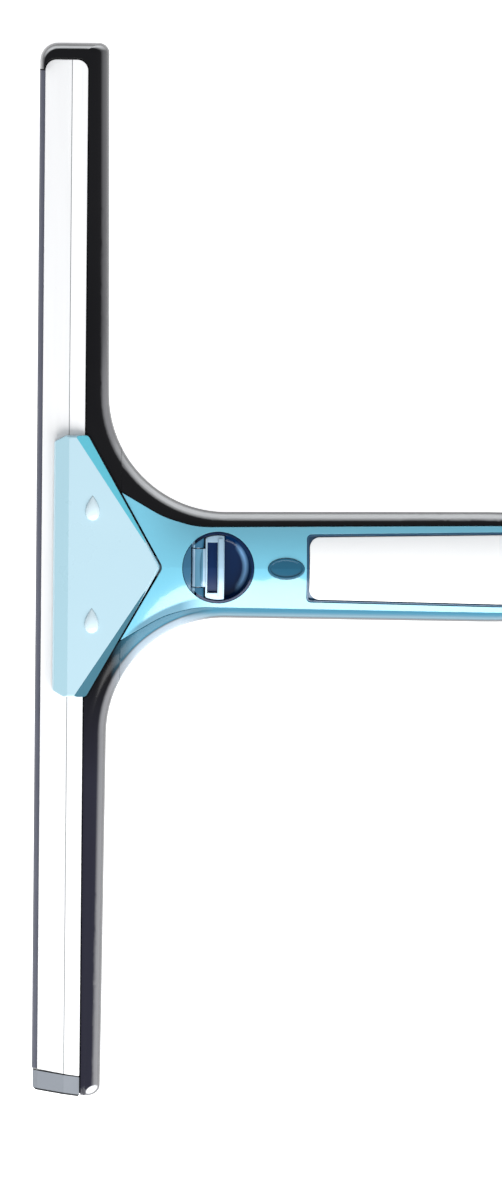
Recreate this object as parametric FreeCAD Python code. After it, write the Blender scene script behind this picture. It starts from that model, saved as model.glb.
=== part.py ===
import FreeCAD, Part
import math
import os

# A hand squeegee: a long head along Y with a handle along +X, lying on its flat back, with +Z up.
# The origin is on the bottom plane, midway between the blade's edge and the handle's end.

Vec = FreeCAD.Vector

# Driving dimensions, in millimetres.
HEAD_LENGTH = 351.0
CLOSED_END_Y = 172.7
BLADE_EDGE_X = -120.0
HANDLE_END_X = 120.0

# The frame: plan outline and the height of each level.
FRAME_FRONT_X = -120.0
FRAME_FLOOR_FRONT_X = -116.0
HEAD_BACK_X = -95.8
HEAD_BACK_TAPER = 1.3
HANDLE_HALF_NECK = 17.4
HANDLE_HALF_GRIP = 18.4
HANDLE_HALF_END = 13.5
GRIP_X = 35.0
YOKE_RADIUS = 39.0
FRAME_TOP_Z = 13.4
FLANK_WIDEST_Z = 4.5
FLANK_ROUNDING = 7.5
TRAY_FLOOR_Z = 5.4
DECK_Z = 12.0
CAVITY_FLOOR_Z = 3.0
END_WALL = 5.1
OPEN_END_SLANT = 2.9
END_FACET = (4.4, 2.0)
HEAD_SPLIT_X = -92.0

# The blade cartridge: a folded channel with the rubber inside it.
CHANNEL_BACK_X = -104.2
CHANNEL_CREASE_X = -109.4
CHANNEL_LIP_X = -118.2
CHANNEL_TOP_Z = 13.0
CHANNEL_LIP_Z = 10.4
CHANNEL_BOTTOM_Z = 5.7
CHANNEL_SHEET = 1.1
CHANNEL_CORNER = 3.6
PLUG_END_Y = -177.4
PLUG_LENGTH = 6.7
PLUG_SLANT = 2.0
CARTRIDGE_GAP = 0.4

# The clamp plate over the middle of the channel.
JAW_APEX_X = -78.8
JAW_CORNER_X = -103.2
JAW_HALF = 43.4
JAW_SHOULDER_X = -110.4
JAW_NOSE_X = -114.3
JAW_NOSE_HALF = 41.2
JAW_BOTTOM_Z = 13.4
JAW_TOP_Z = 16.2
JAW_CREASE = [(-107.4, 43.4), (-79.4, 1.0)]
JAW_FLANK_SLOPE = 0.5
JAW_PIVOT = (-90.0, 10.4)
JAW_PIN_DIAMETER = 2.5
LUG_Y = (7.0, 9.6)
TAIL_Z = (10.0, 11.6)
RIVET_X = -101.5
RIVET_Y = 18.7
NOTCH_GAP = 0.65

# The finger well and the lever in it.
WELL_X = -59.8
WELL_RADIUS = 11.0
WELL_WALL = 0.8
WELL_FLOOR_Z = 12.9
WELL_DISH = 2.6
LEVER_AXIS = (-66.4, 15.3)
LEVER_PIN_DIAMETER = 2.0
LEVER_EDGE_X = -57.8
BARREL_RADIUS = 2.1
BARREL_HALF = 6.3

# The label window on the handle, the badge and the hanging hole.
LABEL_START_X = -29.5
LABEL_END_X = 90.5
LABEL_HALF_START = 10.3
LABEL_HALF_MIDDLE = 11.5
LABEL_HALF_END = 10.8
BADGE_X = -37.3
HANG_X = 108.0
HANG_BORE = 8.0
EYELET_WALL = 1.2
EYELET_TOP_Z = 18.7

# The screws that hold the upper shell, as places in plan with the height of each insert's top.
SCREWS = [(-76.0, 10.5, 14.2), (-76.0, -10.5, 14.2), (-45.2, 0.0, 16.4), (97.0, 0.0, 16.0)]
SCREW_DIAMETER = 2.9
SCREW_HEAD_DIAMETER = 5.4

OPEN_END_Y = CLOSED_END_Y - HEAD_LENGTH
# The handle is nearer the closed end; this brings the middle of the whole tool to Y = 0.
CENTRING = Vec(0, -(CLOSED_END_Y + OPEN_END_Y) / 2, 0)


def offset_polygon(points, insets):
    """Move each side of a counter-clockwise polygon inward by its own distance."""
    count = len(points)
    lines = []
    for i in range(count):
        start = points[i]
        end = points[(i + 1) % count]
        dx = end[0] - start[0]
        dy = end[1] - start[1]
        length = math.hypot(dx, dy)
        normal = (-dy / length, dx / length)
        moved = (start[0] + normal[0] * insets[i], start[1] + normal[1] * insets[i])
        lines.append((moved, (dx / length, dy / length)))
    corners = []
    for i in range(count):
        (ax, ay), (ux, uy) = lines[i - 1]
        (bx, by), (vx, vy) = lines[i]
        cross = ux * vy - uy * vx
        along = ((bx - ax) * vy - (by - ay) * vx) / cross
        corners.append((ax + ux * along, ay + uy * along))
    return corners


def turns_left(points, i):
    """Whether the polygon turns left, as a convex corner does, at point i."""
    ax, ay = points[i - 1]
    bx, by = points[i]
    cx, cy = points[(i + 1) % len(points)]
    return (bx - ax) * (cy - by) - (by - ay) * (cx - bx) > 0


def rounded_wire(points, radii, z):
    """A closed wire at height z through a polygon whose corners are rounded by arcs."""
    count = len(points)
    arcs = []
    for i in range(count):
        corner = Vec(points[i][0], points[i][1], z)
        to_last = Vec(points[i - 1][0], points[i - 1][1], z) - corner
        following = points[(i + 1) % count]
        to_next = Vec(following[0], following[1], z) - corner
        to_last.normalize()
        to_next.normalize()
        half = to_last.getAngle(to_next) / 2
        reach = radii[i] / math.tan(half)
        middle = to_last + to_next
        middle.normalize()
        sag = radii[i] / math.sin(half) - radii[i]
        arcs.append((corner + to_last * reach, corner + middle * sag, corner + to_next * reach))
    edges = []
    for i in range(count):
        start, middle, end = arcs[i]
        edges.append(Part.Arc(start, middle, end).toShape())
        edges.append(Part.LineSegment(end, arcs[(i + 1) % count][0]).toShape())
    return Part.Wire(edges)


def grown_wire(points, radii, grow, z):
    """The rounded outline moved outward by grow, or inward where grow is negative."""
    moved = offset_polygon(points, [-grow] * len(points))
    rounded = []
    for i, radius in enumerate(radii):
        change = grow if turns_left(points, i) else -grow
        rounded.append(max(radius + change, 0.3))
    return rounded_wire(moved, rounded, z)


def prism(points, radii, z0, z1, grow=0.0):
    """An upright prism between two heights."""
    face = Part.Face(grown_wire(points, radii, grow, z0))
    return face.extrude(Vec(0, 0, z1 - z0))


def pillow(points, radii, z0, z1, rounding):
    """An upright prism whose top edge is rounded."""
    levels = []
    for angle in (0, 25, 50, 72, 90):
        inset = rounding * (1 - math.cos(math.radians(angle)))
        height = z1 - rounding + rounding * math.sin(math.radians(angle))
        levels.append(grown_wire(points, radii, -inset, height))
    cap = Part.makeLoft(levels, True, False)
    return prism(points, radii, z0, z1 - rounding).fuse(cap)


def box(x0, x1, y0, y1, z0, z1):
    """A plain block given by its limits."""
    return Part.makeBox(x1 - x0, y1 - y0, z1 - z0, Vec(x0, y0, z0))


def upright(x, y, radius, z0, z1):
    """A cylinder along Z."""
    return Part.makeCylinder(radius, z1 - z0, Vec(x, y, z0), Vec(0, 0, 1))


def crosswise(x, z, radius, y0, y1):
    """A cylinder along Y."""
    return Part.makeCylinder(radius, y1 - y0, Vec(x, y0, z), Vec(0, 1, 0))


def bar_along_y(profile, y0, y1):
    """A profile of (x, z) points drawn out along Y."""
    wire = Part.makePolygon([Vec(x, y0, z) for x, z in profile + profile[:1]])
    return Part.Face(wire).extrude(Vec(0, y1 - y0, 0))


def lowered(shape, drop):
    """A copy of a shape moved down."""
    return shape.translated(Vec(0, 0, -drop))


def together(shapes):
    """One solid from several that meet, with the seams between them removed."""
    return shapes[0].multiFuse(shapes[1:]).removeSplitter()


# ---------------------------------------------------------------- outlines in plan

FRAME_OUTLINE = [
    (FRAME_FRONT_X, OPEN_END_Y + OPEN_END_SLANT),
    (HEAD_BACK_X - HEAD_BACK_TAPER, OPEN_END_Y),
    (HEAD_BACK_X, -HANDLE_HALF_NECK),
    (GRIP_X, -HANDLE_HALF_GRIP),
    (HANDLE_END_X, -HANDLE_HALF_END),
    (HANDLE_END_X, HANDLE_HALF_END),
    (GRIP_X, HANDLE_HALF_GRIP),
    (HEAD_BACK_X, HANDLE_HALF_NECK),
    (HEAD_BACK_X - HEAD_BACK_TAPER, CLOSED_END_Y),
    (FRAME_FRONT_X, CLOSED_END_Y),
]
FRAME_RADII = [2.0, 3.4, YOKE_RADIUS, 200.0, 11.0, 11.0, 200.0, YOKE_RADIUS, 3.4, 6.0]
# How much of the flank's rounding each side takes: little on the thin end walls and the front.
FRAME_SHARE = [0.1, 1, 1, 1, 1, 1, 1, 1, 0.35, 0.2]

SHELL_OUTLINE = [
    (-98.0, -28.2),
    (-92.0, -24.6),
    (-78.0, -16.4),
    (-67.0, -13.2),
    (GRIP_X, -14.4),
    (117.0, -10.8),
    (117.0, 10.8),
    (GRIP_X, 14.4),
    (-67.0, 13.2),
    (-78.0, 16.4),
    (-92.0, 24.6),
    (-98.0, 28.2),
]
SHELL_RADII = [0.5, 30.0, 30.0, 30.0, 200.0, 8.5, 8.5, 200.0, 30.0, 30.0, 30.0, 0.5]

JAW_OUTLINE = [
    (JAW_NOSE_X, -JAW_NOSE_HALF),
    (JAW_SHOULDER_X, -JAW_HALF),
    (JAW_CORNER_X, -JAW_HALF),
    (JAW_APEX_X, 0.0),
    (JAW_CORNER_X, JAW_HALF),
    (JAW_SHOULDER_X, JAW_HALF),
    (JAW_NOSE_X, JAW_NOSE_HALF),
]
JAW_RADII = [1.0, 1.0, 1.5, 2.0, 1.5, 1.0, 1.0]

LABEL_OUTLINE = [
    (LABEL_START_X, -LABEL_HALF_START),
    (GRIP_X, -LABEL_HALF_MIDDLE),
    (LABEL_END_X, -LABEL_HALF_END),
    (LABEL_END_X, LABEL_HALF_END),
    (GRIP_X, LABEL_HALF_MIDDLE),
    (LABEL_START_X, LABEL_HALF_START),
]
LABEL_RADII = [3.4, 150.0, 3.4, 3.4, 150.0, 3.4]
TRAY_RADII = [0.6, 150.0, 0.6, 0.6, 150.0, 0.6]

# ---------------------------------------------------------------- the crown of the upper shell

# Poles of the crown's guide lines: x, half-width, height at the edge and height at the ridge.
CROWN_POLES = [
    (-110.0, 58.0, 13.4, 14.9),
    (-100.0, 44.0, 13.4, 15.1),
    (-91.0, 28.0, 13.4, 15.4),
    (-82.0, 19.5, 13.2, 16.2),
    (-73.0, 16.0, 13.0, 17.7),
    (-64.0, 15.6, 12.9, 18.8),
    (-50.0, 15.8, 12.8, 19.0),
    (-20.0, 16.2, 12.8, 19.2),
    (10.0, 16.6, 12.8, 19.5),
    (40.0, 16.8, 12.8, 19.7),
    (70.0, 16.2, 12.8, 19.5),
    (100.0, 14.6, 12.8, 18.7),
    (122.0, 12.8, 12.8, 17.4),
]
CROWN_SECTIONS = 30
CROWN_BASE_Z = 2.0


def crown_stations():
    """Stations spaced evenly along smooth guide lines that follow the poles."""
    widths = Part.BSplineCurve()
    widths.buildFromPoles([Vec(x, half, 0) for x, half, edge_z, ridge_z in CROWN_POLES], False, 3)
    heights = Part.BSplineCurve()
    heights.buildFromPoles([Vec(x, edge_z, ridge_z) for x, half, edge_z, ridge_z in CROWN_POLES], False, 3)
    stations = []
    for i in range(CROWN_SECTIONS):
        at = i / (CROWN_SECTIONS - 1)
        width = widths.value(at)
        height = heights.value(at)
        stations.append((width.x, width.y, height.y, height.z))
    return stations


def crown_section(x, half, edge_z, ridge_z):
    """A closed section across the handle with two arcs that meet in a soft ridge."""
    shoulder_z = edge_z + 0.67 * (ridge_z - edge_z)
    ridge = Vec(x, 0, ridge_z)
    edges = []
    for side in (1, -1):
        edge = Vec(x, side * half, edge_z)
        shoulder = Vec(x, side * half * 0.55, shoulder_z)
        arc = (edge, shoulder, ridge) if side > 0 else (ridge, shoulder, edge)
        edges.append(Part.Arc(*arc).toShape())
    left = Vec(x, -half, edge_z)
    left_base = Vec(x, -half, CROWN_BASE_Z)
    right_base = Vec(x, half, CROWN_BASE_Z)
    right = Vec(x, half, edge_z)
    edges.append(Part.LineSegment(left, left_base).toShape())
    edges.append(Part.LineSegment(left_base, right_base).toShape())
    edges.append(Part.LineSegment(right_base, right).toShape())
    return Part.Wire(edges)


def crown_solid():
    """The body under the shell's crowned top, from which curved plates are taken."""
    return Part.makeLoft([crown_section(*station) for station in crown_stations()], True, False)


CROWN = crown_solid()


def curved_plate(outline, radii, top_drop, bottom_drop, grow=0.0):
    """A plate that follows the crown, between two depths below it."""
    slab = prism(outline, radii, 6.0, 30.0, grow)
    return slab.common(lowered(CROWN, top_drop)).cut(lowered(CROWN, bottom_drop))


# ---------------------------------------------------------------- the frame


def flank_inset(z):
    """How far the frame's side lies inside its widest line at height z."""
    if z < FLANK_WIDEST_Z:
        return 1.6 * (1 - z / FLANK_WIDEST_Z) ** 2
    rise = (z - FLANK_WIDEST_Z) / (FRAME_TOP_Z + 0.05 - FLANK_WIDEST_Z)
    return FLANK_ROUNDING * (1 - math.sqrt(1 - rise * rise))


def frame_level(z):
    """The frame's outline at one height."""
    inset = flank_inset(z)
    insets = [share * inset for share in FRAME_SHARE]
    points = offset_polygon(FRAME_OUTLINE, insets)
    radii = []
    for i, radius in enumerate(FRAME_RADII):
        share = min(FRAME_SHARE[i - 1], FRAME_SHARE[i])
        change = -inset if turns_left(FRAME_OUTLINE, i) else inset
        radii.append(max(radius + share * change, 0.8))
    return rounded_wire(points, radii, z)


def frame_blank():
    """The T-shaped body with its rounded flanks, before anything is cut."""
    heights = [0.0, 1.5, FLANK_WIDEST_Z, 8.0, 10.8, 12.4, 13.15, FRAME_TOP_Z]
    return Part.makeLoft([frame_level(z) for z in heights], True, False)


def tray_space():
    """The space that the cartridge lies in, open to the front, above and at one end."""
    inner_y = CLOSED_END_Y - END_WALL
    back = CHANNEL_BACK_X + CARTRIDGE_GAP
    front = CHANNEL_LIP_X - CARTRIDGE_GAP
    corners = [(front, OPEN_END_Y - 5), (back, OPEN_END_Y - 5), (back, inner_y), (front, inner_y)]
    tray = prism(corners, [0.5, 0.5, CHANNEL_CORNER + 0.3, CHANNEL_CORNER + 0.3], TRAY_FLOOR_Z, 20.0)
    mouth_y = inner_y - CHANNEL_CORNER
    mouth = box(-130.0, front + 4.0, OPEN_END_Y - 5, mouth_y, TRAY_FLOOR_Z, 20.0)
    below = box(-130.0, FRAME_FLOOR_FRONT_X, OPEN_END_Y - 5, mouth_y - 1.5, -1.0, 20.0)
    return [tray, mouth, below]


def mechanism_space():
    """The cavity under the clamp plate and the lever."""
    x, z = JAW_PIVOT
    half_pin = JAW_PIN_DIAMETER / 2
    wide = box(-98.0, -79.0, -13.0, 13.0, CAVITY_FLOOR_Z, 20.0)
    narrow = box(-80.0, -57.0, -4.2, 4.2, CAVITY_FLOOR_Z, 20.0)
    bore = crosswise(x, z, half_pin + 0.03, -16.6, 16.6)
    slot = box(x - half_pin + 0.15, x + half_pin - 0.15, -16.6, 16.6, z, 20.0)
    return [wide, narrow, bore, slot]


def handle_pockets():
    """Weight-saving pockets in the handle, with cross ribs left between them."""
    start = -38.0
    end = 90.0
    ribs = 4
    pitch = (end - start) / ribs
    pockets = []
    for i in range(ribs):
        x0 = start + i * pitch + 1.1
        x1 = start + (i + 1) * pitch - 1.1
        pockets.append(box(x0, x1, -10.5, 10.5, CAVITY_FLOOR_Z, 20.0))
    return pockets


def screw_space(x, y):
    """The clearance hole and counterbore of one shell screw."""
    hole = upright(x, y, SCREW_DIAMETER / 2 + 0.15, -1.0, 20.0)
    counterbore = upright(x, y, SCREW_HEAD_DIAMETER / 2 + 0.2, -1.0, 2.6)
    return [hole, counterbore]


def end_facet():
    """What is taken off the tray's back wall at the open end, to leave a sloping facet."""
    depth, fall = END_FACET
    points = [(depth, 0), (-2, -fall * (depth + 2) / depth), (-2, 6), (depth, 6), (depth, 0)]
    corners = [Vec(CHANNEL_BACK_X + 1.3, OPEN_END_Y + y, FRAME_TOP_Z + z) for y, z in points]
    return Part.Face(Part.makePolygon(corners)).extrude(Vec(20, 0, 0))


PALM_OUTLINE = [(-36.0, -11.0), (90.0, -11.0), (90.0, 11.0), (-36.0, 11.0)]
PALM_RADII = [9.0, 9.0, 9.0, 9.0]
PALM_DEPTH = 1.3


def black_body():
    """The whole black body: tray, end wall, yoke and the handle's sides."""
    space = tray_space() + mechanism_space() + handle_pockets()
    space.append(end_facet())
    space.append(prism(SHELL_OUTLINE, SHELL_RADII, DECK_Z, 20.0, 0.15))
    space.append(prism(JAW_OUTLINE, JAW_RADII, DECK_Z + 0.9, 20.0, 0.6))
    space.append(prism(PALM_OUTLINE, PALM_RADII, -1.0, PALM_DEPTH, 0.05))
    space.append(upright(HANG_X, 0, HANG_BORE / 2 + EYELET_WALL + 0.1, -1.0, 20.0))
    for x, y, top in SCREWS:
        space += screw_space(x, y)
    return frame_blank().cut(space)


def t_frame():
    """The head's moulding of the black body: the tray, its end wall and the front of the yoke."""
    return black_body().cut(box(HEAD_SPLIT_X - 0.01, 200.0, -300.0, 300.0, -10.0, 40.0))


def handle_frame():
    """The handle's moulding of the black body, from the yoke to the hanging hole."""
    return black_body().cut(box(-200.0, HEAD_SPLIT_X + 0.01, -300.0, 300.0, -10.0, 40.0))


def palm_grip():
    """The rubber inlay under the handle, with grooves across it."""
    pad = prism(PALM_OUTLINE, PALM_RADII, 0.0, PALM_DEPTH)
    grooves = []
    for i in range(20):
        x = -28.5 + i * 6.0
        grooves.append(box(x - 0.9, x + 0.9, -20.0, 20.0, -1.0, 0.55))
    return pad.cut(grooves)


# ---------------------------------------------------------------- the upper shell


def shell_hollow():
    """The space inside the shell, less the walls and bosses that stay."""
    hollow = prism(SHELL_OUTLINE, SHELL_RADII, DECK_Z - 1, 30.0, -2.2).common(lowered(CROWN, 2.3))
    kept = [
        prism(JAW_OUTLINE, JAW_RADII, 5.0, 30.0, NOTCH_GAP + 1.9),
        upright(WELL_X, 0, WELL_RADIUS + WELL_WALL + 2.0, 5.0, 30.0),
        prism(LABEL_OUTLINE, TRAY_RADII, 5.0, 30.0, 3.0).cut(lowered(CROWN, 4.2)),
        upright(HANG_X, 0, HANG_BORE / 2 + EYELET_WALL + 2.0, 5.0, 30.0),
    ]
    for x, y, top in SCREWS:
        kept.append(upright(x, y, 4.0, 5.0, 30.0))
    return hollow.cut(kept)


def badge_outline(grow):
    """The badge's oval, as an upright prism."""
    oval = Part.Ellipse(Vec(BADGE_X, 0, 5.0), 6.0 + grow, 3.5 + grow)
    return Part.Face(Part.Wire(oval.toShape())).extrude(Vec(0, 0, 25.0))


def upper_shell():
    """The blue shell of the yoke and handle."""
    body = prism(SHELL_OUTLINE, SHELL_RADII, DECK_Z, 30.0).common(CROWN)
    space = [
        shell_hollow(),
        prism(JAW_OUTLINE, JAW_RADII, 5.0, 30.0, NOTCH_GAP),
        upright(WELL_X, 0, WELL_RADIUS + WELL_WALL + 0.12, 5.0, 30.0),
        prism(LABEL_OUTLINE, TRAY_RADII, 5.0, 30.0, 1.0).cut(lowered(CROWN, 2.1)),
        badge_outline(0.1).cut(lowered(CROWN, 0.9)),
        upright(HANG_X, 0, HANG_BORE / 2 + EYELET_WALL + 0.1, 5.0, 30.0),
        upright(HANG_X, 0, HANG_BORE / 2 + EYELET_WALL + 1.6, EYELET_TOP_Z - 0.85, 30.0),
    ]
    for x, y, top in SCREWS:
        space.append(upright(x, y, 2.25, 5.0, top))
    return body.cut(space)


def label_tray():
    """The dark liner of the label window: a thin curved floor with a rim."""
    tray = curved_plate(LABEL_OUTLINE, TRAY_RADII, 0.35, 2.05, 0.9)
    inside = prism(LABEL_OUTLINE, TRAY_RADII, 6.0, 30.0, 0.35).cut(lowered(CROWN, 1.35))
    return tray.cut(inside)


def label_plate():
    """The white label, lying in the tray."""
    return curved_plate(LABEL_OUTLINE, LABEL_RADII, 0.6, 1.3)


def oval_badge():
    """A plain oval badge with a raised rim."""
    badge = badge_outline(0.0).common(lowered(CROWN, -0.25)).cut(lowered(CROWN, 0.85))
    dish = badge_outline(-0.7).cut(lowered(CROWN, 0.1))
    return badge.cut(dish)


def hang_grommet():
    """The eyelet of the hanging hole, with a flange on top."""
    inner = HANG_BORE / 2
    outer = inner + EYELET_WALL
    tube = upright(HANG_X, 0, outer, 0.3, EYELET_TOP_Z)
    flange = upright(HANG_X, 0, outer + 1.5, EYELET_TOP_Z - 0.7, EYELET_TOP_Z)
    rim = Part.makeTorus(inner + 1.35, 0.7, Vec(HANG_X, 0, EYELET_TOP_Z - 0.1), Vec(0, 0, 1))
    return together([tube, flange, rim]).cut(upright(HANG_X, 0, inner, -1.0, 30.0))


# ---------------------------------------------------------------- the clamp


def jaw_plate():
    """The clamp plate, with its sloping nose, two lugs and the tail that the lever presses."""
    slope = (CHANNEL_TOP_Z - CHANNEL_LIP_Z) / (CHANNEL_CREASE_X - CHANNEL_LIP_X)
    fall = slope * (CHANNEL_CREASE_X - JAW_NOSE_X)
    profile = [
        (-70.0, JAW_BOTTOM_Z),
        (-70.0, JAW_TOP_Z),
        (CHANNEL_CREASE_X, JAW_TOP_Z),
        (JAW_NOSE_X + 0.5, JAW_TOP_Z - fall),
        (JAW_NOSE_X, JAW_TOP_Z - fall - 0.6),
        (JAW_NOSE_X, JAW_BOTTOM_Z - fall),
        (CHANNEL_CREASE_X, JAW_BOTTOM_Z),
    ]
    blank = bar_along_y(profile, -60.0, 60.0)
    plate = blank.common(pillow(JAW_OUTLINE, JAW_RADII, 5.0, JAW_TOP_Z, 0.8))
    plate = plate.cut([jaw_flank_space(1), jaw_flank_space(-1)])
    x, z = JAW_PIVOT
    parts = [plate]
    for side in (1, -1):
        y0, y1 = sorted((side * LUG_Y[0], side * LUG_Y[1]))
        parts.append(crosswise(x, z, 3.0, y0, y1))
        parts.append(box(x - 3.0, x + 3.0, y0, y1, z, JAW_BOTTOM_Z + 0.5))
    parts.append(box(-86.0, -81.0, -3.3, 3.3, TAIL_Z[0], JAW_BOTTOM_Z + 0.5))
    parts.append(box(-86.0, -73.4, -3.3, 3.3, TAIL_Z[0], TAIL_Z[1]))
    body = together(parts)
    space = [crosswise(x, z, JAW_PIN_DIAMETER / 2 + 0.08, -20.0, 20.0), pad_space(0.05)]
    for side in (1, -1):
        space.append(upright(RIVET_X, side * RIVET_Y, 1.3, 5.0, 30.0))
    return body.cut(space)


def jaw_flank_space(side):
    """What is taken off the plate beside its crease, to leave a sloping flank."""
    (x0, y0), (x1, y1) = JAW_CREASE
    start = Vec(x0, side * y0, JAW_TOP_Z)
    along = Vec(x1, side * y1, JAW_TOP_Z) - start
    length = along.Length
    along.normalize()
    outward = Vec(abs(along.y), side * abs(along.x), 0)
    foot = start - along * 6
    low = foot + outward * 10 - Vec(0, 0, 10 * JAW_FLANK_SLOPE)
    high = foot + outward * 10 + Vec(0, 0, 3)
    face = Part.Face(Part.makePolygon([foot, low, high, foot + Vec(0, 0, 3), foot]))
    return face.extrude(along * (length + 12))


def pad_space(grow):
    """The place of the rubber strip under the nose."""
    return box(-109.6 - grow, -104.9 + grow, -40.0 - grow, 40.0 + grow, 13.25 - 10 * grow, 14.2 + grow)


def grip_pad():
    """The rubber strip that grips the channel."""
    return pad_space(0.0)


def jaw_rivets():
    """Two tear-shaped rivet heads with their shanks."""
    rivets = []
    for side in (1, -1):
        head = teardrop().translated(Vec(RIVET_X, side * RIVET_Y, JAW_TOP_Z))
        head = head.cut(box(-120.0, -80.0, -40.0, 40.0, 0.0, JAW_TOP_Z + 0.02))
        shank = upright(RIVET_X, side * RIVET_Y, 1.25, JAW_BOTTOM_Z + 0.05, JAW_TOP_Z + 0.4)
        rivets.append(together([head, shank]))
    return Part.makeCompound(rivets)


def teardrop():
    """A drop-shaped dome, round at one end and pointed at the other, flattened in Z."""
    curve = Part.BSplineCurve()
    side = [(0, -3.4), (2.1, -2.0), (2.3, 0.3), (0.9, 3.6), (0, 5.0)]
    curve.interpolate([Vec(x, y, 0) for x, y in side])
    axis = Part.LineSegment(Vec(0, 5.0, 0), Vec(0, -3.4, 0))
    face = Part.Face(Part.Wire([curve.toShape(), axis.toShape()]))
    drop = face.revolve(Vec(0, 0, 0), Vec(0, 1, 0), 360)
    flatten = FreeCAD.Matrix()
    flatten.A33 = 0.55
    return drop.transformGeometry(flatten)


def jaw_pin():
    """The pin that the clamp plate rocks on."""
    x, z = JAW_PIVOT
    return crosswise(x, z, JAW_PIN_DIAMETER / 2, -16.4, 16.4)


def jaw_spring():
    """A torsion spring round the jaw pin, with one leg on the floor and one under the plate."""
    x, z = JAW_PIVOT
    wire_radius = 0.35
    pitch = 0.8
    turns = 7
    helix = Part.makeHelix(pitch, pitch * turns, 1.95).Edges[0]
    start = helix.valueAt(helix.FirstParameter)
    end = helix.valueAt(helix.LastParameter)
    start_way = helix.tangentAt(helix.FirstParameter)
    end_way = helix.tangentAt(helix.LastParameter)
    foot = start - start_way * (z - CAVITY_FLOOR_Z - 0.1)
    tip = end + end_way * (JAW_BOTTOM_Z - 0.35 - z)
    legs = [Part.LineSegment(foot, start).toShape(), Part.LineSegment(end, tip).toShape()]
    path = Part.Wire([legs[0], helix, legs[1]])
    section = Part.Wire(Part.Circle(foot, start_way, wire_radius).toShape())
    spring = path.makePipeShell([section], True, True)
    spring.rotate(Vec(0, 0, 0), Vec(0, 0, 1), 180)
    spring.rotate(Vec(0, 0, 0), Vec(1, 0, 0), -90)
    spring.translate(Vec(x, -pitch * turns / 2, z))
    return spring


# ---------------------------------------------------------------- the finger well and the lever


def finger_well():
    """The dark cup, trimmed to the crown, with a window in its floor for the lever's toe."""
    outer = upright(WELL_X, 0, WELL_RADIUS + WELL_WALL, DECK_Z, 30.0).common(lowered(CROWN, 0.12))
    inner = upright(WELL_X, 0, WELL_RADIUS, WELL_FLOOR_Z, 30.0)
    foot = [edge for edge in inner.Edges if edge.BoundBox.ZMax < WELL_FLOOR_Z + 0.1]
    dished = inner.makeFillet(WELL_DISH, foot)
    inner = dished.fuse(inner.common(box(-75.0, LEVER_EDGE_X + 0.4, -12.0, 12.0, WELL_FLOOR_Z, 30.0)))
    window = box(-69.0, -58.2, -3.6, 3.6, 5.0, 30.0)
    seat = box(-75.0, LEVER_AXIS[0] - 0.6, -12.0, 12.0, WELL_FLOOR_Z, 30.0)
    return outer.cut([inner, window, seat])


def lever_block():
    """The crescent block that carries the lever's pin."""
    x, z = LEVER_AXIS
    disc = upright(WELL_X, 0, WELL_RADIUS - 0.05, WELL_FLOOR_Z, 30.0)
    rim = upright(WELL_X, 0, WELL_RADIUS + WELL_WALL - 0.05, WELL_FLOOR_Z, 30.0)
    rim = rim.common(box(-75.0, x - 0.9, -12.0, 12.0, WELL_FLOOR_Z, 30.0))
    back = disc.common(box(-72.0, x + 1.8, -12.0, 12.0, WELL_FLOOR_Z, 30.0))
    back = rim.fuse(back).common(lowered(CROWN, 0.15))
    low = back.cut(box(x - 2.4, -50.0, -12.0, 12.0, z, 30.0))
    cheeks = []
    for side in (1, -1):
        y0, y1 = sorted((side * (BARREL_HALF + 0.3), side * (BARREL_HALF + 5.0)))
        cheeks.append(crosswise(x, z, BARREL_RADIUS - 0.1, y0, y1).common(disc))
    room = box(x - 2.4, -50.0, -BARREL_HALF - 0.3, BARREL_HALF + 0.3, 5.0, 30.0)
    bore = crosswise(x, z, LEVER_PIN_DIAMETER / 2 + 0.03, -12.0, 12.0)
    return together([low.cut(room)] + cheeks).cut(bore)


def lever_pin():
    """The lever's hinge pin."""
    x, z = LEVER_AXIS
    return crosswise(x, z, LEVER_PIN_DIAMETER / 2, -BARREL_HALF - 1.8, BARREL_HALF + 1.8)


def lever_window(shrink):
    """The long window in the lever's plate."""
    return box(-63.4 + shrink, -60.0 - shrink, -8.4 + shrink, 8.4 - shrink, 5.0, 30.0)


def lever_inlay():
    """The dark strip that closes the lever's window from below."""
    return lever_window(0.05).common(lowered(CROWN, 1.45)).cut(lowered(CROWN, 2.4))


def cam_lever():
    """The ribbed lever: curved plate, barrel round the pin, and a toe that reaches under the jaw's tail."""
    x, z = LEVER_AXIS
    disc = upright(WELL_X, 0, WELL_RADIUS - 0.35, 5.0, 30.0)
    plate_zone = disc.common(box(x + 2.6, LEVER_EDGE_X, -12.0, 12.0, 5.0, 30.0))
    neck_zone = box(x + 1.0, x + 3.0, -BARREL_HALF, BARREL_HALF, 5.0, 30.0)
    zone = plate_zone.fuse(neck_zone)
    plate = zone.common(lowered(CROWN, 0.45)).cut(lowered(CROWN, 2.5))
    ribs = []
    for rib_x, half in ((-63.7, 0.3), (-58.95, 0.75)):
        rib_zone = disc.common(box(rib_x - half, rib_x + half, -9.6, 9.6, 5.0, 30.0))
        ribs.append(rib_zone.common(lowered(CROWN, 0.05)).cut(lowered(CROWN, 1.0)))
    barrel = crosswise(x, z, BARREL_RADIUS, -BARREL_HALF, BARREL_HALF)
    toe_top = TAIL_Z[0] - 0.3
    toe_bottom = toe_top - 1.8
    arm = box(x - 1.3, x + 1.3, -2.8, 2.8, toe_bottom, z)
    toe = box(-74.0, x + 1.3, -2.8, 2.8, toe_bottom, toe_top)
    body = together([plate.cut(lever_window(0.0)), barrel, arm, toe] + ribs)
    return body.cut(crosswise(x, z, LEVER_PIN_DIAMETER / 2 + 0.08, -12.0, 12.0))


# ---------------------------------------------------------------- the blade cartridge

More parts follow.
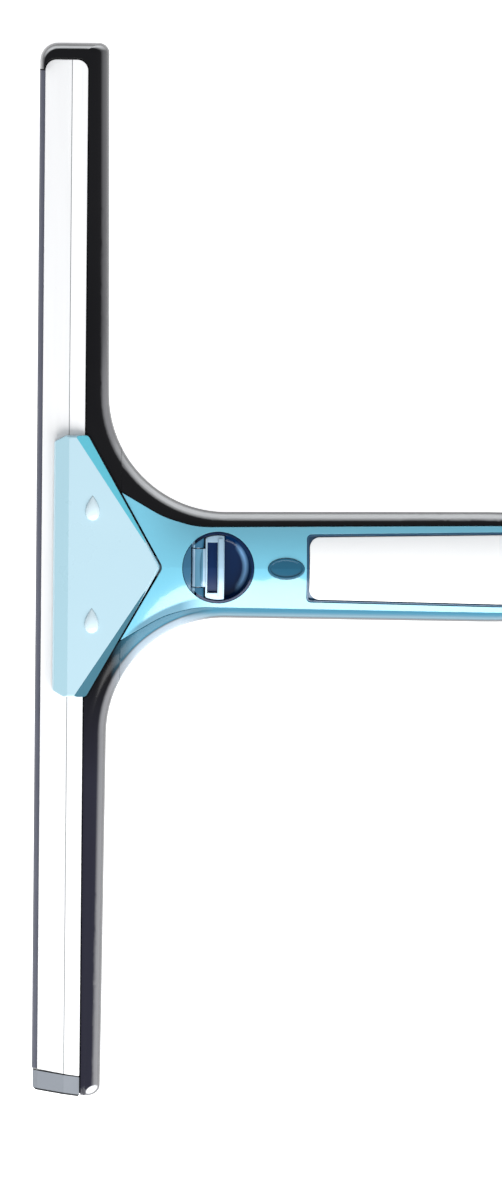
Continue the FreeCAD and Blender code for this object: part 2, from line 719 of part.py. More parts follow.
PLUG_INNER_Y = PLUG_END_Y + PLUG_LENGTH
CHANNEL_START_Y = PLUG_INNER_Y + 0.2
CHANNEL_END_Y = CLOSED_END_Y - END_WALL - CARTRIDGE_GAP
BLADE_END_Y = CLOSED_END_Y - END_WALL - CHANNEL_CORNER - CARTRIDGE_GAP


def channel_profile():
    """The folded sheet's section: a creased top leg, a back and a bottom leg with turned lips."""
    sheet = CHANNEL_SHEET
    slope = (CHANNEL_TOP_Z - CHANNEL_LIP_Z) / (CHANNEL_CREASE_X - CHANNEL_LIP_X)
    lip = CHANNEL_LIP_X
    return [
        (CHANNEL_BACK_X, CHANNEL_BOTTOM_Z),
        (CHANNEL_BACK_X, CHANNEL_TOP_Z),
        (CHANNEL_CREASE_X, CHANNEL_TOP_Z),
        (lip, CHANNEL_LIP_Z),
        (lip, CHANNEL_LIP_Z - 0.95),
        (lip + 0.9, CHANNEL_LIP_Z - 0.95),
        (lip + 0.9, CHANNEL_LIP_Z + 0.9 * slope - sheet),
        (CHANNEL_CREASE_X, CHANNEL_TOP_Z - sheet),
        (CHANNEL_BACK_X - sheet, CHANNEL_TOP_Z - sheet),
        (CHANNEL_BACK_X - sheet, CHANNEL_BOTTOM_Z + sheet),
        (lip + 1.2, CHANNEL_BOTTOM_Z + sheet),
        (lip + 1.2, CHANNEL_BOTTOM_Z + sheet + 0.35),
        (lip + 0.3, CHANNEL_BOTTOM_Z + sheet + 0.35),
        (lip + 0.3, CHANNEL_BOTTOM_Z),
    ]


def blade_channel():
    """The folded metal channel, with rounded corners at its closed end."""
    bar = bar_along_y(channel_profile(), CHANNEL_START_Y, CHANNEL_END_Y)
    corners = [
        (CHANNEL_LIP_X, CHANNEL_START_Y + PLUG_SLANT),
        (CHANNEL_BACK_X, CHANNEL_START_Y),
        (CHANNEL_BACK_X, CHANNEL_END_Y),
        (CHANNEL_LIP_X, CHANNEL_END_Y),
    ]
    return bar.common(prism(corners, [0.3, 0.3, CHANNEL_CORNER, CHANNEL_CORNER], 0.0, 20.0))


def rubber_blade():
    """The rubber: a square bead inside the channel and a thin lip that stands out of it."""
    profile = [
        (-107.2, 7.1),
        (-107.2, 10.9),
        (-111.6, 10.9),
        (-112.4, 9.3),
        (-119.4, 9.3),
        (BLADE_EDGE_X, 8.6),
        (BLADE_EDGE_X, 7.4),
        (-112.4, 7.4),
        (-111.6, 7.1),
    ]
    return bar_along_y(profile, CHANNEL_START_Y + PLUG_SLANT + 0.15, BLADE_END_Y)


def blade_clips():
    """Two clips inside the channel, over the ends of the rubber's bead."""
    clips = []
    for y in (CHANNEL_START_Y + 2.0, BLADE_END_Y - 9.0):
        leaf = box(-109.8, -106.2, y, y + 7.0, 11.05, 11.75)
        tab = box(-106.2, -105.5, y, y + 7.0, 9.2 if y > 0 else 11.05, 11.75)
        clips.append(together([leaf, tab]))
    return Part.makeCompound(clips)


def end_plug():
    """The grey block that closes the channel, with a tongue that slides into it."""
    profile = [
        (CHANNEL_BACK_X, CHANNEL_BOTTOM_Z + 0.05),
        (CHANNEL_BACK_X, CHANNEL_TOP_Z - 0.2),
        (CHANNEL_CREASE_X, CHANNEL_TOP_Z - 0.2),
        (CHANNEL_LIP_X, CHANNEL_LIP_Z - 0.2),
        (-119.7, 9.0),
        (-119.7, 6.6),
        (-118.8, CHANNEL_BOTTOM_Z + 0.05),
    ]
    block = bar_along_y(profile, PLUG_END_Y, PLUG_INNER_Y + PLUG_SLANT)
    corners = [
        (-119.7, PLUG_END_Y + PLUG_SLANT),
        (CHANNEL_BACK_X, PLUG_END_Y),
        (CHANNEL_BACK_X, PLUG_INNER_Y),
        (-119.7, PLUG_INNER_Y + PLUG_SLANT),
    ]
    block = block.common(prism(corners, [1.6, 0.6, 0.2, 0.2], 0.0, 20.0))
    tongue = box(-106.85, -105.65, PLUG_INNER_Y - 1, PLUG_INNER_Y + 14, 7.3, 10.8)
    return together([block, tongue])


# ---------------------------------------------------------------- the fasteners


def screw(x, y, top):
    """One pan-head screw, head down."""
    head = upright(x, y, SCREW_HEAD_DIAMETER / 2, 0.7, 2.55)
    head = head.makeFillet(0.6, [edge for edge in head.Edges if edge.BoundBox.ZMax < 0.75])
    shank = upright(x, y, SCREW_DIAMETER / 2, 2.0, top - 0.4)
    cross = [box(x - 1.6, x + 1.6, y - 0.35, y + 0.35, 0.0, 1.6)]
    cross.append(box(x - 0.35, x + 0.35, y - 1.6, y + 1.6, 0.0, 1.6))
    return together([head, shank]).cut(cross)


def shell_screws():
    """The four screws that hold the upper shell."""
    return Part.makeCompound([screw(x, y, top) for x, y, top in SCREWS])


def screw_inserts():
    """The brass thread inserts in the shell's bosses."""
    inserts = []
    for x, y, top in SCREWS:
        sleeve = upright(x, y, 2.2, DECK_Z + 0.05, top - 0.1)
        inserts.append(sleeve.cut(upright(x, y, SCREW_DIAMETER / 2 + 0.03, 5.0, 30.0)))
    return Part.makeCompound(inserts)


# ---------------------------------------------------------------- write the parts

PARTS = [
    t_frame, handle_frame, upper_shell, finger_well, lever_block, lever_pin, cam_lever, lever_inlay,
    label_tray, label_plate, oval_badge, jaw_plate, jaw_rivets, grip_pad, jaw_pin, jaw_spring,
    blade_channel, rubber_blade, blade_clips, end_plug, palm_grip, hang_grommet, shell_screws,
    screw_inserts,
]

os.makedirs("parts", exist_ok=True)
for build in PARTS:
    shape = build()
    shape.translate(CENTRING)
    shape.exportStep("parts/" + build.__name__ + ".step")
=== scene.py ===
import math

import bpy
from mathutils import Matrix, Vector


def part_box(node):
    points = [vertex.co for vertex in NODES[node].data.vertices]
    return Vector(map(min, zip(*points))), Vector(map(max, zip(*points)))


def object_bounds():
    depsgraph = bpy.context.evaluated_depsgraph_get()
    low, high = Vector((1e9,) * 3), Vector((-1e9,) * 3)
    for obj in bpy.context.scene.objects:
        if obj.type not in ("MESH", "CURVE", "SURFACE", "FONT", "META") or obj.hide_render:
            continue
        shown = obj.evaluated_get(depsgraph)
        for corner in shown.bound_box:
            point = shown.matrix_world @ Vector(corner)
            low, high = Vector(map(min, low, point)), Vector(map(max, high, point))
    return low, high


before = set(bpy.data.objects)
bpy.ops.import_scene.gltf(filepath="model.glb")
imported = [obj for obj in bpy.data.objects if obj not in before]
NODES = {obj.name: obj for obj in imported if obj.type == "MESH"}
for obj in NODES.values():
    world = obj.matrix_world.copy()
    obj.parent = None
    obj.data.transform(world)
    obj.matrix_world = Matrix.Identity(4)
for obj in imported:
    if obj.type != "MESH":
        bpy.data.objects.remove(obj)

# A hand squeegee lying on a light table, seen from almost straight above.
# All shapes are the CAD's. This script adds materials, with some light and shade painted into their
# colours, a floor, one light and the camera.

CAD_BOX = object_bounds()
MM = 0.001

# Places on the object, from the CAD's boxes.
WELL_LOW, WELL_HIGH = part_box("finger_well")
WELL_CENTRE = ((WELL_LOW.x + WELL_HIGH.x) / 2, (WELL_LOW.y + WELL_HIGH.y) / 2)
HEAD_LOW, HEAD_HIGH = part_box("t_frame")
HEAD_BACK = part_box("handle_frame")[0].x - 3.8 * MM
HANDLE_HALF_WIDTH = 17.4 * MM
YOKE_RADIUS = 39.0 * MM
YOKE_CENTRE = (HEAD_BACK + YOKE_RADIUS, WELL_CENTRE[1] - HANDLE_HALF_WIDTH - YOKE_RADIUS)
# Where a painted highlight sits, on the head's corner at the open end.
CORNER_HIGHLIGHT_PLACE = (HEAD_HIGH.x - 8.0 * MM, HEAD_LOW.y + 2.6 * MM)
PLUG_LOW, PLUG_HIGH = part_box("end_plug")
PLUG_MIDDLE = ((PLUG_LOW.x + PLUG_HIGH.x) / 2, PLUG_LOW.y + 4.45 * MM)
PLUG_TURN = -7.35
BLOCK_RIB_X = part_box("lever_block")[0].x + 3.55 * MM
LEVER_RIB_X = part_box("cam_lever")[0].x + 7.85 * MM
CHANNEL_FOLD_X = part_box("blade_channel")[1].x - 5.2 * MM

# Where the yoke's painted light and shade on the open end's side begins, and where the handle's takes
# over from it.
YOKE_SHADE_START = (-95 * MM, -86 * MM)
YOKE_SHADE_END = (-72 * MM, -61 * MM)

# The Z of the normal on the clamp plate's sloped faces.
PLATE_NOSE_SLOPE = 0.959
PLATE_SIDE_SLOPE = 0.894

# ---------------------------------------------------------------- node helpers


def new_material(name):
    """An empty node material with its Principled shader."""
    material = bpy.data.materials.new(name)
    material.use_nodes = True
    return material, material.node_tree, material.node_tree.nodes["Principled BSDF"]


def opened(material):
    """A material's nodes, its shader and what feeds its colour so far."""
    shader = material.node_tree.nodes["Principled BSDF"]
    return material.node_tree, shader, shader.inputs["Base Color"].links[0].from_socket


def add(tree, kind, inputs=None, **settings):
    """A node of this kind, with its properties and unlinked inputs set."""
    node = tree.nodes.new(kind)
    for key, value in settings.items():
        setattr(node, key, value)
    for key, value in (inputs or {}).items():
        node.inputs[key].default_value = value
    return node


def place(tree, scale):
    """Object coordinates, stretched by scale."""
    coordinates = add(tree, "ShaderNodeTexCoord")
    mapping = add(tree, "ShaderNodeMapping", {"Scale": scale})
    tree.links.new(coordinates.outputs["Object"], mapping.inputs["Vector"])
    return mapping.outputs["Vector"]


def local_place(tree, centre, turn_degrees, size):
    """Object coordinates measured from a place, turned about Z and divided by a size."""
    coordinates = add(tree, "ShaderNodeTexCoord")
    turn = (0, 0, math.radians(turn_degrees))
    settings = {"Location": (*centre, 0), "Rotation": turn, "Scale": (*size, 1)}
    mapping = add(tree, "ShaderNodeMapping", settings, vector_type="TEXTURE")
    tree.links.new(coordinates.outputs["Object"], mapping.inputs["Vector"])
    return mapping.outputs["Vector"]


def axes(tree, vector):
    """The X, Y and Z of a vector."""
    parts = add(tree, "ShaderNodeSeparateXYZ")
    tree.links.new(vector, parts.inputs["Vector"])
    return parts.outputs


def position(tree):
    """The X, Y and Z of the place on the object."""
    return axes(tree, add(tree, "ShaderNodeTexCoord").outputs["Object"])


def normal_axes(tree):
    """The X, Y and Z of the object's own normal."""
    return axes(tree, add(tree, "ShaderNodeTexCoord").outputs["Normal"])


def length(tree, vector):
    """The length of a vector."""
    measure = add(tree, "ShaderNodeVectorMath", operation="LENGTH")
    tree.links.new(vector, measure.inputs[0])
    return measure.outputs["Value"]


def near(tree, value, middle, half_width):
    """1 where the value is within half_width of middle, and 0 elsewhere."""
    compare = add(tree, "ShaderNodeMath", {1: middle, 2: half_width}, operation="COMPARE")
    tree.links.new(value, compare.inputs[0])
    return compare.outputs["Value"]


def times(tree, first, second):
    """The product of two values."""
    product = add(tree, "ShaderNodeMath", operation="MULTIPLY")
    tree.links.new(first, product.inputs[0])
    tree.links.new(second, product.inputs[1])
    return product.outputs["Value"]


def noise(tree, scale, detail=4.0, stretch=(1, 1, 1), roughness=0.55):
    """Noise fixed to the object, as a value from 0 to 1."""
    settings = {"Scale": scale, "Detail": detail, "Roughness": roughness}
    texture = add(tree, "ShaderNodeTexNoise", settings)
    tree.links.new(place(tree, stretch), texture.inputs["Vector"])
    return texture.outputs["Fac"]


def spread(tree, value, low, high, start=0.3, end=0.7):
    """A value spread from low to high as the input goes from start to end."""
    settings = {"From Min": start, "From Max": end, "To Min": low, "To Max": high}
    span = add(tree, "ShaderNodeMapRange", settings)
    tree.links.new(value, span.inputs["Value"])
    return span.outputs["Result"]


def mixed(tree, value, first, second):
    """A blend of two colours that come from other nodes or are given."""
    mix = add(tree, "ShaderNodeMix", data_type="RGBA")
    tree.links.new(value, mix.inputs["Factor"])
    for name, colour in (("A", first), ("B", second)):
        if isinstance(colour, tuple):
            mix.inputs[name].default_value = (*colour, 1)
        else:
            tree.links.new(colour, mix.inputs[name])
    return mix.outputs["Result"]


def soft_edges(tree, radius):
    """Normals that round the sharp edges."""
    return add(tree, "ShaderNodeBevel", {"Radius": radius}, samples=6).outputs["Normal"]


def bumped(tree, height, strength, distance, normal):
    """A bump on top of other normals."""
    bump = add(tree, "ShaderNodeBump", {"Strength": strength, "Distance": distance})
    tree.links.new(height, bump.inputs["Height"])
    tree.links.new(normal, bump.inputs["Normal"])
    return bump.outputs["Normal"]


# ---------------------------------------------------------------- materials


def moulded(name, colour, tint, gloss, coat=0.0, grain=0.04, edge=0.35 * MM, ior=1.5):
    """Moulded plastic: a faint flow in its colour, uneven polish, fine grain and soft edges."""
    material, tree, shader = new_material(name)
    shader.inputs["IOR"].default_value = ior
    flow = spread(tree, noise(tree, 9.0, 3.0, (1.0, 2.2, 1.0)), 0, 1)
    tree.links.new(mixed(tree, flow, colour, tint), shader.inputs["Base Color"])
    polish = noise(tree, 60.0, 5.0)
    tree.links.new(spread(tree, polish, gloss * 0.85, gloss * 1.2), shader.inputs["Roughness"])
    fine = noise(tree, 1400.0, 2.0)
    normal = bumped(tree, fine, grain, 0.02 * MM, soft_edges(tree, edge))
    tree.links.new(normal, shader.inputs["Normal"])
    shader.inputs["Coat Weight"].default_value = coat
    shader.inputs["Coat Roughness"].default_value = 0.06
    return material


def black_gloss(name):
    """Black plastic, a little greyer towards the open end, with painted sheen on its sides and a
    painted dark rim where they turn away.
    """
    material, tree, shader = new_material(name)
    flow = spread(tree, noise(tree, 9.0, 3.0, (1.0, 2.2, 1.0)), 0, 1)
    place_on_body = position(tree)
    open_half = spread(tree, place_on_body["Y"], 1, 0, -70 * MM, -35 * MM)
    closed_half = spread(tree, place_on_body["Y"], 0, 1, 45 * MM, 80 * MM)
    on_handle = spread(tree, place_on_body["X"], 0, 1, *YOKE_SHADE_START)
    face_on = mixed(tree, flow, (0.002, 0.002, 0.003), (0.005, 0.005, 0.006))
    face_on = mixed(tree, open_half, face_on, (0.016, 0.016, 0.027))
    normal_y = normal_axes(tree)["Y"]
    to_closed_end = spread(tree, normal_y, 0, 1, 0.3, 0.75)
    to_open_end = times(tree, spread(tree, normal_y, 1, 0, -0.85, -0.6), on_handle)
    # Painted sheen on the sides: grey, darker near the closed end, pale where they face the closed
    # end and blue-grey where they face the open end on the handle.
    bloom_and_painted_sheen = mixed(tree, closed_half, (0.16, 0.16, 0.17), (0.045, 0.045, 0.05))
    bloom_and_painted_sheen = mixed(tree, to_closed_end, bloom_and_painted_sheen, (0.62, 0.63, 0.64))
    bloom_and_painted_sheen = mixed(tree, to_open_end, bloom_and_painted_sheen, (0.12, 0.23, 0.29))
    facing = add(tree, "ShaderNodeLayerWeight", {"Blend": 0.5}).outputs["Facing"]
    sides = mixed(tree, spread(tree, facing, 0, 1, 0.25, 0.40), face_on, bloom_and_painted_sheen)
    # Painted shade: a dark rim where the sides turn furthest from view.
    rim = spread(tree, facing, 0, 1, 0.52, 0.70)
    tree.links.new(mixed(tree, rim, sides, (0.02, 0.02, 0.025)), shader.inputs["Base Color"])
    polish = noise(tree, 60.0, 5.0)
    tree.links.new(spread(tree, polish, 0.14, 0.2), shader.inputs["Roughness"])
    fine = noise(tree, 1400.0, 2.0)
    normal = bumped(tree, fine, 0.03, 0.02 * MM, soft_edges(tree, 0.35 * MM))
    tree.links.new(normal, shader.inputs["Normal"])
    shader.inputs["IOR"].default_value = 1.3
    return material


def rubber(name, colour, tint, roughness):
    """Rubber: dull, with a light bloom and a fine moulded texture."""
    material, tree, shader = new_material(name)
    bloom_and_painted_sheen = spread(tree, noise(tree, 25.0, 6.0), 0, 1)
    tree.links.new(mixed(tree, bloom_and_painted_sheen, colour, tint), shader.inputs["Base Color"])
    wear = spread(tree, noise(tree, 120.0, 4.0), roughness * 0.9, roughness * 1.15)
    tree.links.new(wear, shader.inputs["Roughness"])
    fine = noise(tree, 900.0, 3.0)
    normal = bumped(tree, fine, 0.2, 0.03 * MM, soft_edges(tree, 0.25 * MM))
    tree.links.new(normal, shader.inputs["Normal"])
    shader.inputs["Sheen Weight"].default_value = 0.15
    return material


def drawn_metal(name, colour, tint, roughness, stretch, metallic=1.0):
    """Metal with fine lines along the way it was drawn or turned."""
    material, tree, shader = new_material(name)
    lines = noise(tree, 900.0, 4.0, stretch)
    patches = spread(tree, noise(tree, 14.0, 3.0), 0, 1)
    tree.links.new(mixed(tree, patches, colour, tint), shader.inputs["Base Color"])
    polish = spread(tree, lines, roughness * 0.8, roughness * 1.3)
    tree.links.new(polish, shader.inputs["Roughness"])
    normal = bumped(tree, lines, 0.12, 0.02 * MM, soft_edges(tree, 0.2 * MM))
    tree.links.new(normal, shader.inputs["Normal"])
    shader.inputs["Metallic"].default_value = metallic
    return material


# ---------------------------------------------------------------- marks on the materials, most of them painted light and shade


def recolour(material, where, colour):
    """Another colour where this value is 1."""
    tree, shader, plain = opened(material)
    tree.links.new(mixed(tree, where, plain, colour), shader.inputs["Base Color"])


def stripe(material, x, half_width, colour):
    """A stripe of another colour, running along Y at this x."""
    tree = material.node_tree
    recolour(material, near(tree, position(tree)["X"], x, half_width), colour)
    return material


def sloped_faces(material, slope, closed_end, open_end):
    """Painted shade on the faces at one slope, blended from those facing -Y to those facing +Y."""
    tree = material.node_tree
    normal = normal_axes(tree)
    on_slope = near(tree, normal["Z"], slope, 0.02)
    end = spread(tree, normal["Y"], 0, 1, -0.2, 0.2)
    recolour(material, on_slope, mixed(tree, end, open_end, closed_end))
    return on_slope


def dulled(material, where):
    """Almost no shine where this value is 1."""
    tree, shader = material.node_tree, material.node_tree.nodes["Principled BSDF"]
    coat = shader.inputs["Coat Weight"].default_value
    tree.links.new(spread(tree, where, 0.5, 0.1, 0, 1), shader.inputs["Specular IOR Level"])
    tree.links.new(spread(tree, where, coat, 0.0, 0, 1), shader.inputs["Coat Weight"])
    return material


def painted_corner_highlight(material, centre, turn_degrees, size, colour):
    """A painted highlight: a pale oval on the corner."""
    tree = material.node_tree
    distance = length(tree, local_place(tree, centre, turn_degrees, size))
    recolour(material, spread(tree, distance, 1, 0, 0.7, 1.0), colour)
    return material


def painted_end_shadow(material, centre, turn_degrees, half_length, colour):
    """Painted shadow along both ends of the block, beyond this distance from its middle."""
    tree, shader, plain = opened(material)
    along = axes(tree, local_place(tree, centre, turn_degrees, (1, 1)))["Y"]
    middle = near(tree, along, 0.0, half_length)
    tree.links.new(mixed(tree, middle, colour, plain), shader.inputs["Base Color"])
    return material


def painted_crescent_highlight(material, centre, radius, half_width, colour):
    """A painted highlight: a paler crescent on the cup's far side."""
    tree = material.node_tree
    coordinates = add(tree, "ShaderNodeTexCoord")
    settings = {"Location": (-centre[0], -centre[1], 0), "Scale": (1, 1, 0)}
    shift = add(tree, "ShaderNodeMapping", settings)
    tree.links.new(coordinates.outputs["Object"], shift.inputs["Vector"])
    from_ring = add(tree, "ShaderNodeMath", {1: radius}, operation="SUBTRACT")
    tree.links.new(length(tree, shift.outputs["Vector"]), from_ring.inputs[0])
    off_ring = add(tree, "ShaderNodeMath", operation="ABSOLUTE")
    tree.links.new(from_ring.outputs["Value"], off_ring.inputs[0])
    near_ring = spread(tree, off_ring.outputs["Value"], 1, 0, 0, half_width)
    far = axes(tree, shift.outputs["Vector"])["X"]
    far_side = spread(tree, far, 0, 1, 0.6 * radius, 0.85 * radius)
    recolour(material, times(tree, near_ring, far_side), colour)
    return material


def yoke_band(material, start, end, colour):
    """Painted light and shade along the yoke's curve on the open end's side, from start to end in
    from its edge.
    """
    tree = material.node_tree
    around = local_place(tree, YOKE_CENTRE, 0, (YOKE_RADIUS, YOKE_RADIUS))
    distance = length(tree, around)
    soft = 0.4 * MM / YOKE_RADIUS
    start, end = 1 + start / YOKE_RADIUS, 1 + end / YOKE_RADIUS
    off_edge = spread(tree, distance, 0, 1, start - soft, start)
    near_edge = spread(tree, distance, 1, 0, end - soft, end + soft)
    parts = position(tree)
    past_head = spread(tree, parts["X"], 0, 1, *YOKE_SHADE_START)
    before_cup = spread(tree, parts["X"], 1, 0, *YOKE_SHADE_END)
    above_back = spread(tree, parts["Z"], 0, 1, 2 * MM, 4 * MM)
    band = times(tree, times(tree, off_edge, near_edge), times(tree, past_head, before_cup))
    band = times(tree, band, above_back)
    recolour(material, band, colour)
    return band


def handle_edge(material, colour):
    """A painted blue sheen on the narrow strip beside the shell, on the handle's side nearer the open
    end.
    """
    tree = material.node_tree
    parts = position(tree)
    past_yoke = spread(tree, parts["X"], 0, 1, *YOKE_SHADE_END)
    low_side = spread(tree, parts["Y"], 1, 0, -11 * MM, -9 * MM)
    upward = spread(tree, normal_axes(tree)["Z"], 0, 1, 0.55, 0.70)
    recolour(material, times(tree, times(tree, past_yoke, low_side), upward), colour)


def paint(material, *names):
    """Give CAD nodes this material."""
    for name in names:
        mesh = NODES[name].data
        if not mesh.materials:
            mesh.materials.append(material)
        for index in range(len(mesh.materials)):
            mesh.materials[index] = material


def paint_black_body():
    """The black body of head and handle, with its painted sheen and a painted highlight on its
    corner.
    """
    black = black_gloss("black_body")
    # A painted highlight on the head's corner at the open end.
    painted_corner_highlight(black, CORNER_HIGHLIGHT_PLACE, 25.0, (2.3 * MM, 1.3 * MM), (0.75, 0.76, 0.78))
    # Painted blue-grey sheen along the yoke's curve on the open end's side, and a darker blue painted
    # sheen along the handle's edge beyond it.
    yoke_band(black, -1.0 * MM, 3.0 * MM, (0.27, 0.34, 0.40))
    yoke_band(black, 3.5 * MM, 8.2 * MM, (0.046, 0.17, 0.25))
    handle_edge(black, (0.046, 0.17, 0.25))
    paint(black, "t_frame", "handle_frame")


def paint_shell():
    """The light-blue shell, with painted shade along the yoke, where it is also made dull."""
    shell = moulded("blue_shell", (0.155, 0.50, 0.66), (0.165, 0.52, 0.68), 0.22, 1.0)
    # Painted shade along the yoke's curve on the open end's side.
    band = yoke_band(shell, 3.5 * MM, 8.2 * MM, (0.115, 0.262, 0.352))
    paint(dulled(shell, band), "upper_shell")


def paint_clamp_plate():
    """The pale clamp plate, with painted shade on its nose and its two sides, which are also dull,
    and the rivet heads.
    """
    plate = moulded("pale_blue", (0.42, 0.60, 0.68), (0.435, 0.615, 0.695), 0.30, 0.3)
    # Painted shade: the nose darker than the top, the side facing the closed end cyan, the side
    # facing the open end dark slate.
    nose = (0.36, 0.56, 0.64)
    sloped_faces(plate, PLATE_NOSE_SLOPE, nose, nose)
    sides = sloped_faces(plate, PLATE_SIDE_SLOPE, (0.12, 0.50, 0.62), (0.035, 0.13, 0.18))
    paint(dulled(plate, sides), "jaw_plate")
    rivets = moulded("rivet_white", (0.60, 0.74, 0.80), (0.64, 0.78, 0.84), 0.2, 0.5)
    paint(rivets, "jaw_rivets")


def paint_well():
    """The dark-blue cup with its painted highlight, and the lever in it with its ribs, block and
    inlay; a painted highlight runs along the block's rib and painted shade along the lever's.
    """
    navy = moulded("navy_cup", (0.001, 0.014, 0.060), (0.002, 0.019, 0.075), 0.12, 0.1, ior=1.3)
    # A painted highlight on the cup's far side.
    painted_crescent_highlight(navy, WELL_CENTRE, 9.2 * MM, 1.3 * MM, (0.20, 0.42, 0.72))
    paint(navy, "finger_well")
    inlay = moulded("navy_inlay", (0.003, 0.018, 0.075), (0.005, 0.025, 0.095), 0.3, ior=1.25)
    paint(inlay, "lever_inlay")
    block = moulded("lever_blue", (0.022, 0.11, 0.20), (0.028, 0.13, 0.23), 0.22, 0.2)
    # A painted highlight along the block's rib.
    paint(stripe(block, BLOCK_RIB_X, 0.45 * MM, (0.30, 0.50, 0.64)), "lever_block")
    lever = moulded("lever_pale", (0.36, 0.54, 0.68), (0.39, 0.57, 0.72), 0.2, 0.5)
    # Painted shade along the lever's rib.
    paint(stripe(lever, LEVER_RIB_X, 1.35 * MM, (0.085, 0.24, 0.36)), "cam_lever")


def paint_label():
    """The label's liner, the blank label and the plain badge."""
    liner = moulded("tray_blue", (0.018, 0.080, 0.160), (0.024, 0.095, 0.180), 0.25, 0.3)
    paint(liner, "label_tray")
    label = moulded("white_label", (0.93, 0.94, 0.94), (0.96, 0.96, 0.96), 0.35, 0.3, 0.02)
    paint(label, "label_plate")
    badge = moulded("badge_teal", (0.004, 0.085, 0.155), (0.006, 0.10, 0.18), 0.18, 0.2)
    paint(badge, "oval_badge")


def paint_cartridge():
    """The bright channel with painted shade along its fold, the rubber, and the grey plug with
    painted shadow along its ends.
    """
    grey = moulded("grey_plug", (0.215, 0.235, 0.265), (0.24, 0.26, 0.29), 0.40, 0.1, 0.08)
    # Painted shadow along both ends of the plug.
    painted_end_shadow(grey, PLUG_MIDDLE, PLUG_TURN, 2.9 * MM, (0.015, 0.017, 0.02))
    paint(grey, "end_plug")
    blade = rubber("blade_rubber", (0.070, 0.075, 0.105), (0.095, 0.10, 0.135), 0.42)
    paint(blade, "rubber_blade")
    white, whiter = (0.97, 0.975, 0.98), (0.985, 0.985, 0.985)
    channel = drawn_metal("bright_channel", white, whiter, 0.34, (1, 0.02, 1), metallic=0.3)
    # Painted shade along the channel's fold.
    paint(stripe(channel, CHANNEL_FOLD_X, 0.14 * MM, (0.25, 0.26, 0.27)), "blade_channel")


def paint_small_parts():
    """The rubber pads, the spring, the pins, the screws and the eyelet."""
    pads = rubber("pad_rubber", (0.020, 0.020, 0.022), (0.032, 0.032, 0.035), 0.62)
    paint(pads, "grip_pad", "palm_grip")
    spring = drawn_metal("spring_steel", (0.50, 0.50, 0.52), (0.58, 0.58, 0.60), 0.25, (0.1, 1, 1))
    paint(spring, "jaw_spring", "blade_clips")
    turned = drawn_metal("turned_steel", (0.60, 0.60, 0.62), (0.68, 0.68, 0.70), 0.28, (1, 0.1, 1))
    paint(turned, "jaw_pin", "lever_pin", "shell_screws")
    eyelet = drawn_metal("eyelet_metal", (0.78, 0.79, 0.81), (0.84, 0.85, 0.86), 0.15, (1, 1, 0.1))
    paint(eyelet, "hang_grommet")
    brass = drawn_metal("brass_inserts", (0.72, 0.52, 0.22), (0.80, 0.60, 0.28), 0.3, (1, 1, 0.2))
    paint(brass, "screw_inserts")


paint_black_body()
paint_shell()
paint_clamp_plate()
paint_well()
paint_label()
paint_cartridge()
paint_small_parts()

# ---------------------------------------------------------------- floor, light and camera

FLOOR_HALF = 4.0
FLOOR_GAP = 0.2 * MM
LIGHT_MIDDLE = Vector((-48, -10, 8)) * MM
KEY_DISTANCE = 1.6
KEY_LEAN = 50.0
KEY_SIDE = 8.0
KEY_SIZE = (2.2, 1.3)
KEY_POWER = 50.0
CAMERA_LEAN = 5.0
CAMERA_SIDE = -2.0
CAMERA_ROLL = 0.62
CAMERA_DISTANCE = 2.6
CAMERA_LENS = 234.85
CAMERA_TARGET = Vector((-48.5, -8.55, 8.0)) * MM


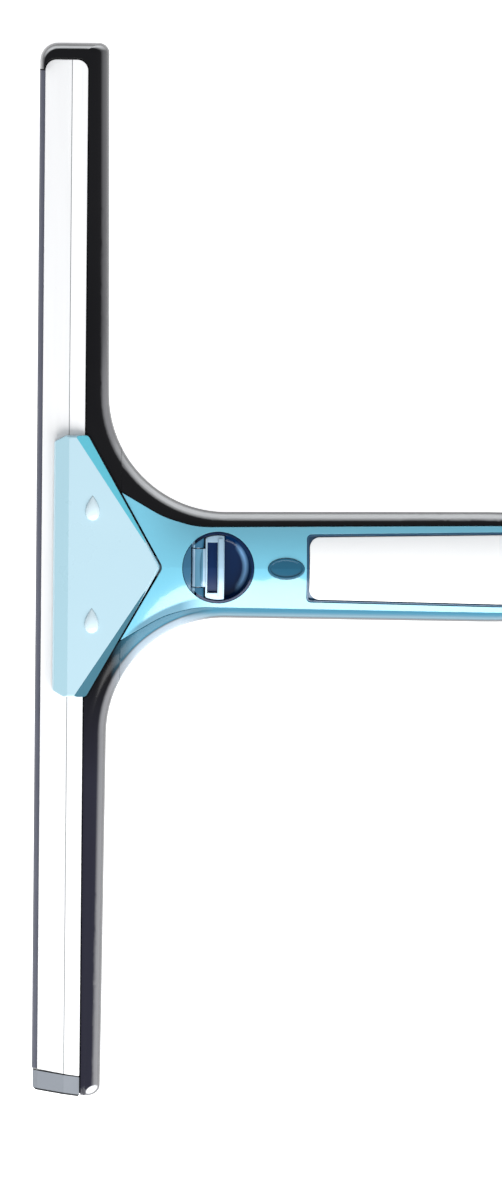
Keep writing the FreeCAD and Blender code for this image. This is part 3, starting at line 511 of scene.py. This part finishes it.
def light_table():
    """The floor: a pale sheet lit from below as well."""
    z = CAD_BOX[0][2] - FLOOR_GAP
    corners = [(-FLOOR_HALF, -FLOOR_HALF, z), (FLOOR_HALF, -FLOOR_HALF, z),
               (FLOOR_HALF, FLOOR_HALF, z), (-FLOOR_HALF, FLOOR_HALF, z)]
    mesh = bpy.data.meshes.new("floor")
    mesh.from_pydata(corners, [], [(0, 1, 2, 3)])
    floor = bpy.data.objects.new("floor", mesh)
    bpy.context.scene.collection.objects.link(floor)
    material, tree, shader = new_material("floor_sheet")
    grain = mixed(tree, noise(tree, 40.0, 3.0), (0.86, 0.86, 0.86), (0.90, 0.90, 0.90))
    tree.links.new(grain, shader.inputs["Base Color"])
    shader.inputs["Roughness"].default_value = 0.8
    shader.inputs["Emission Color"].default_value = (1, 1, 1, 1)
    shader.inputs["Emission Strength"].default_value = 0.8
    mesh.materials.append(material)


def aim(lean_degrees, side_degrees):
    """A unit vector that leans from straight up towards -Y, and sideways towards +X."""
    lean = math.radians(lean_degrees)
    side = math.radians(side_degrees)
    return Vector((math.sin(side), -math.sin(lean) * math.cos(side), math.cos(lean) * math.cos(side)))


def room_light():
    """The even light of the room."""
    world = bpy.data.worlds.new("studio")
    bpy.context.scene.world = world
    world.use_nodes = True
    background = world.node_tree.nodes["Background"]
    background.inputs["Color"].default_value = (0.95, 0.97, 1.0, 1)
    background.inputs["Strength"].default_value = 0.5


def key_softbox():
    """One soft box beyond the head's open end."""
    away = aim(KEY_LEAN, KEY_SIDE)
    light = bpy.data.lights.new("key_softbox", "AREA")
    light.shape = "RECTANGLE"
    light.size, light.size_y = KEY_SIZE
    light.energy = KEY_POWER
    panel = bpy.data.objects.new("key_softbox", light)
    bpy.context.scene.collection.objects.link(panel)
    turn = (-away).to_track_quat("-Z", "Y").to_matrix().to_4x4()
    panel.matrix_world = Matrix.Translation(LIGHT_MIDDLE + away * KEY_DISTANCE) @ turn


def camera():
    """The camera above the head, leaning a little towards the head's closed end."""
    back = aim(-CAMERA_LEAN, CAMERA_SIDE)
    up = Vector((0, 1, 0))
    up = (up - back * up.dot(back)).normalized()
    right = up.cross(back)
    roll = math.radians(CAMERA_ROLL)
    rolled_right = right * math.cos(roll) + up * math.sin(roll)
    rolled_up = up * math.cos(roll) - right * math.sin(roll)
    lens = bpy.data.cameras.new("camera")
    lens.sensor_fit = "VERTICAL"
    lens.sensor_height = 36.0
    lens.lens = CAMERA_LENS
    lens.clip_end = 50.0
    holder = bpy.data.objects.new("camera", lens)
    bpy.context.scene.collection.objects.link(holder)
    turn = Matrix((rolled_right, rolled_up, back)).transposed().to_4x4()
    holder.matrix_world = Matrix.Translation(CAMERA_TARGET + back * CAMERA_DISTANCE) @ turn
    bpy.context.scene.camera = holder


light_table()
room_light()
key_softbox()
camera()
bpy.context.scene.view_settings.view_transform = "Standard"
